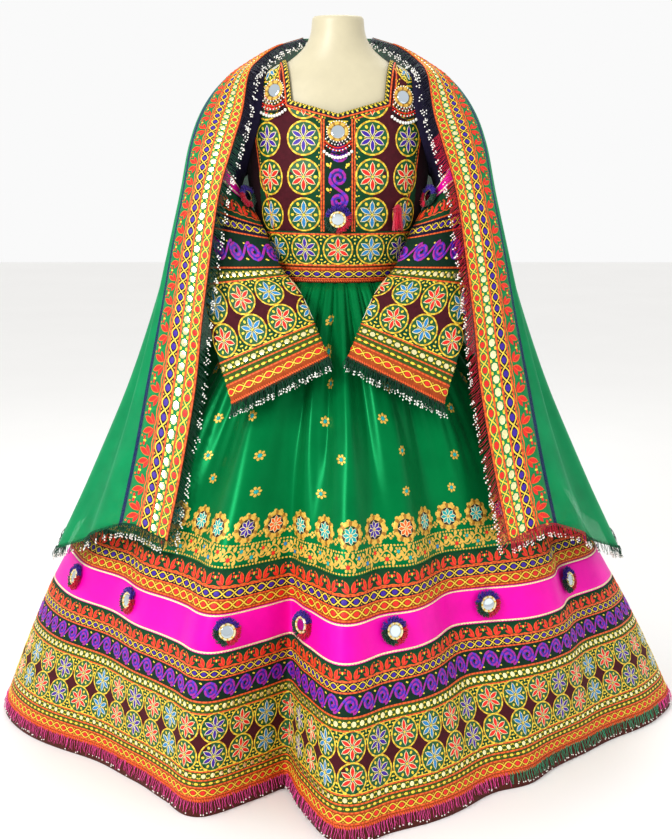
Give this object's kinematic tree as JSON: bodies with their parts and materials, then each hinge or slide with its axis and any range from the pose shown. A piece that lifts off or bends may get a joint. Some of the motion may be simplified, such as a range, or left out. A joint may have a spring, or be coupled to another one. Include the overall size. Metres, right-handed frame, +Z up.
{
  "type": "afghan dress on dress form",
  "caption": "Long-sleeved embroidered gown with a full gathered skirt and a fringed shawl, shown on a headless dress form with a round base.",
  "frame": {"origin": "on the floor, at the centre of the underside of the stand's base", "axes": "+Z up, the front of the gown faces -Y, +X towards the viewer's right"},
  "size_m": [1.541, 1.1481, 1.528],
  "materials": {
    "form": "smooth satin cream",
    "stand": "brushed",
    "satin": "glossy green satin",
    "magenta": "magenta taffeta",
    "maroon": "matt maroon cotton with embroidered medallions",
    "embroidery": "dense yellow, red and blue thread embroidery",
    "orange_trim": "red and orange embroidered ribbon",
    "chiffon": "sheer green chiffon",
    "fringe": "thread fringe with small beads",
    "wool": "cut wool tufts round a mirror",
    "mirror": "small glass mirror in a thread ring"
  },
  "bodies": {
    "root": {"bodice_back": "maroon", "bodice_front": "maroon", "form_torso": "form", "fringe_cuff_left": "fringe", "fringe_cuff_right": "fringe", "fringe_hem": "fringe", "fringe_shawl_hem": "fringe", "fringe_shawl_left": "fringe", "fringe_shawl_right": "fringe", "front_placket": "embroidery", "mirror_drop_centre": "mirror", "mirror_drop_left": "mirror", "mirror_drop_right": "mirror", "neck_trim": "embroidery", "pompom_01": "wool", "pompom_02": "wool", "pompom_03": "wool", "pompom_04": "wool", "pompom_05": "wool", "pompom_06": "wool", "pompom_07": "wool", "pompom_08": "wool", "pompom_09": "wool", "pompom_10": "wool", "pompom_11": "wool", "pompom_12": "wool", "pompom_13": "wool", "pompom_14": "wool", "pompom_front": "wool", "pompom_sleeve_left": "wool", "pompom_sleeve_right": "wool", "shawl_back": "chiffon", "shawl_band_left": "orange_trim", "shawl_band_right": "orange_trim", "shawl_left": "chiffon", "shawl_right": "chiffon", "skirt_border": "embroidery", "skirt_satin": "satin", "skirt_stripe": "magenta", "skirt_trim": "orange_trim", "sleeve_cuff_left": "embroidery", "sleeve_cuff_right": "embroidery", "sleeve_forearm_left": "embroidery", "sleeve_forearm_right": "embroidery", "sleeve_head_left": "maroon", "sleeve_head_right": "maroon", "sleeve_stripe_left": "magenta", "sleeve_stripe_right": "magenta", "stand_base": "stand", "stand_pole": "stand", "tassel": "magenta", "waist_band": "embroidery", "waist_trim": "orange_trim"}
  },
  "joints": []
}
